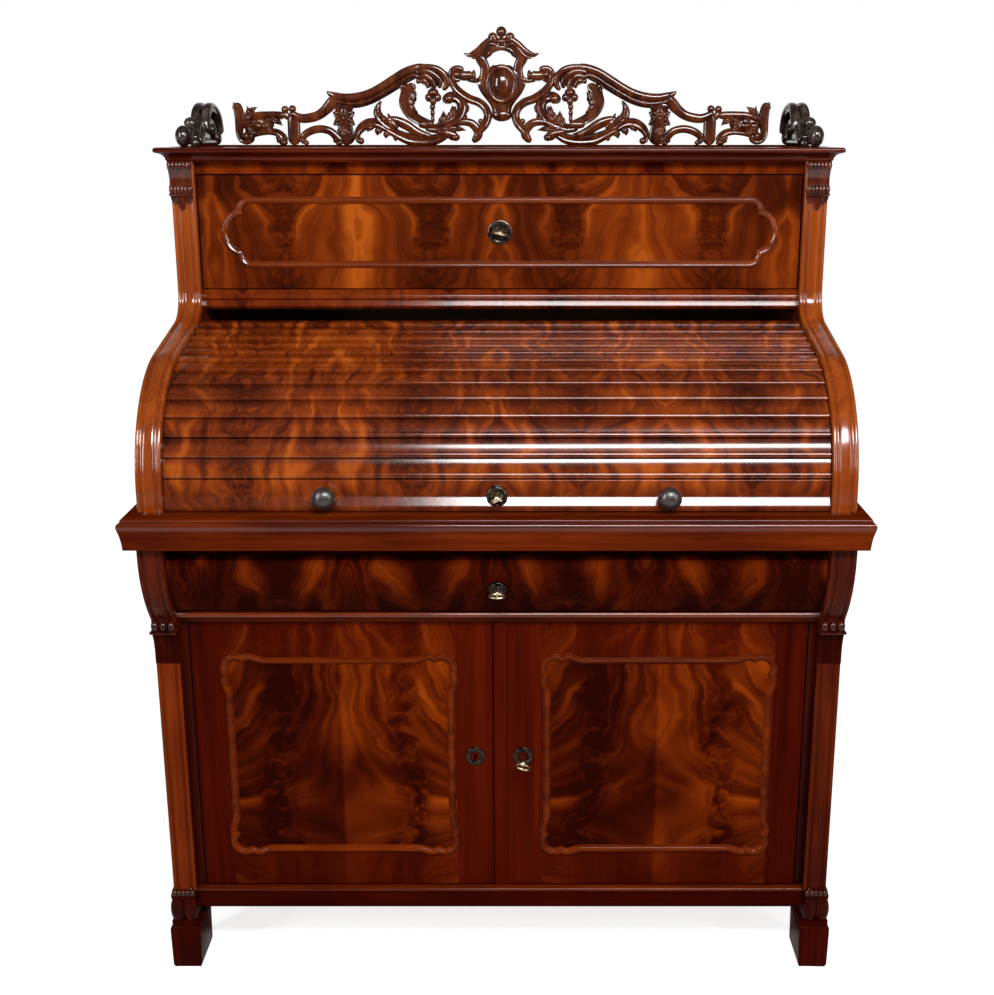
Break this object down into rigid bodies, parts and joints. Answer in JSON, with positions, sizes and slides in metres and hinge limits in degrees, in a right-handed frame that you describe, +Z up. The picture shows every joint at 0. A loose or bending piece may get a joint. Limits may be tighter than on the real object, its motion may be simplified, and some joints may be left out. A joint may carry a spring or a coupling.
{
  "type": "cylinder desk",
  "caption": "Flame-mahogany cylinder desk: slatted curved lid over a writing table, drawer above and below, panelled cupboard doors and a pierced carved gallery.",
  "frame": {"origin": "on the floor below the middle of the desk's outer box", "axes": "+Z up, +X to the right seen from the front, front of the desk towards -Y"},
  "size_m": [1.1, 0.62, 1.5],
  "materials": {
    "mahogany_flame": "french polished, figured",
    "mahogany": "french polished",
    "carved_mahogany": "polished, dark",
    "plain_wood": "plain",
    "canvas": "glued canvas",
    "dark_knob": "turned, blackened",
    "leather": "worn",
    "dark_brass": "patinated",
    "iron": "dark",
    "key_metal": "worn"
  },
  "bodies": {
    "case": {"lower_sides": "mahogany", "lower_back": "plain_wood", "cupboard_floor": "plain_wood", "cupboard_shelf": "plain_wood", "drawer_board": "plain_wood", "plinth_rail": "mahogany_flame", "bead_rail": "mahogany", "table_rail": "mahogany", "pilasters": "mahogany", "feet": "mahogany", "consoles": "mahogany", "table_edge": "mahogany", "writing_top": "mahogany", "writing_leather": "leather", "upper_side_left": "mahogany", "upper_side_right": "mahogany", "side_facings": "mahogany", "upper_back": "plain_wood", "mid_rail": "mahogany", "frieze_rail": "mahogany_flame", "dust_board": "plain_wood", "top_board": "mahogany", "pilaster_caps": "mahogany", "cornice": "mahogany", "pivot_pins": "iron", "nest_case": "mahogany", "gallery_left": "carved_mahogany", "gallery_right": "carved_mahogany", "gallery_centre": "carved_mahogany", "gallery_ends": "carved_mahogany"},
    "lid": {"lid_slats": "mahogany_flame", "lid_backing": "canvas", "lid_rail": "mahogany_flame", "lid_escutcheon": "dark_brass", "lid_lock": "iron", "lid_ends": "plain_wood", "lid_knobs": "dark_knob"},
    "lid_key": {"lid_key": "key_metal"},
    "top_drawer": {"top_drawer_front": "mahogany_flame", "top_drawer_escutcheon": "dark_brass", "top_drawer_lock": "iron", "top_drawer_box": "plain_wood", "top_drawer_moulding": "mahogany"},
    "top_drawer_key": {"top_drawer_key": "key_metal"},
    "low_drawer": {"low_drawer_front": "mahogany_flame", "low_drawer_escutcheon": "dark_brass", "low_drawer_lock": "iron", "low_drawer_box": "plain_wood"},
    "low_drawer_key": {"low_drawer_key": "key_metal"},
    "door_left": {"door_left": "mahogany_flame", "door_left_escutcheon": "dark_brass", "door_left_moulding": "mahogany"},
    "door_right": {"door_right": "mahogany_flame", "door_right_escutcheon": "dark_brass", "door_right_lock": "iron", "door_right_moulding": "mahogany", "meeting_strip": "mahogany"},
    "door_right_key": {"door_right_key": "key_metal"},
    "nest_drawer_left": {"nest_drawer_left": "mahogany"},
    "nest_drawer_right": {"nest_drawer_right": "mahogany"}
  },
  "joints": [
    {"name": "lid_turn", "type": "hinge", "parent": "case", "child": "lid", "pos_m": [0, -0.077, 0.812], "axis": [-1, 0, 0], "range_deg": [0, 60]},
    {"name": "lid_key_turn", "type": "hinge", "parent": "lid", "child": "lid_key", "pos_m": [0, -0.267, 0.809], "axis": [0, 1, 0], "range_deg": [0, 180]},
    {"name": "top_drawer_slide", "type": "slide", "parent": "case", "child": "top_drawer", "axis": [0, -1, 0], "range_m": [0, 0.15]},
    {"name": "top_drawer_key_turn", "type": "hinge", "parent": "top_drawer", "child": "top_drawer_key", "pos_m": [0, 0.07, 1.16504], "axis": [0, 1, 0], "range_deg": [0, 180]},
    {"name": "low_drawer_slide", "type": "slide", "parent": "case", "child": "low_drawer", "axis": [0, -1, 0], "range_m": [0, 0.28]},
    {"name": "low_drawer_key_turn", "type": "hinge", "parent": "low_drawer", "child": "low_drawer_key", "pos_m": [0, -0.267, 0.666], "axis": [0, 1, 0], "range_deg": [0, 180]},
    {"name": "door_left_swing", "type": "hinge", "parent": "case", "child": "door_left", "pos_m": [-0.466, -0.202, 0.135], "axis": [0, 0, -1], "range_deg": [0, 100]},
    {"name": "door_right_swing", "type": "hinge", "parent": "case", "child": "door_right", "pos_m": [0.466, -0.202, 0.135], "axis": [0, 0, 1], "range_deg": [0, 100]},
    {"name": "door_right_key_turn", "type": "hinge", "parent": "door_right", "child": "door_right_key", "pos_m": [0.038, -0.209, 0.365], "axis": [0, 1, 0], "range_deg": [0, 180]},
    {"name": "nest_drawer_left_slide", "type": "slide", "parent": "case", "child": "nest_drawer_left", "axis": [0, -1, 0], "range_m": [0, 0.08]},
    {"name": "nest_drawer_right_slide", "type": "slide", "parent": "case", "child": "nest_drawer_right", "axis": [0, -1, 0], "range_m": [0, 0.08]}
  ]
}
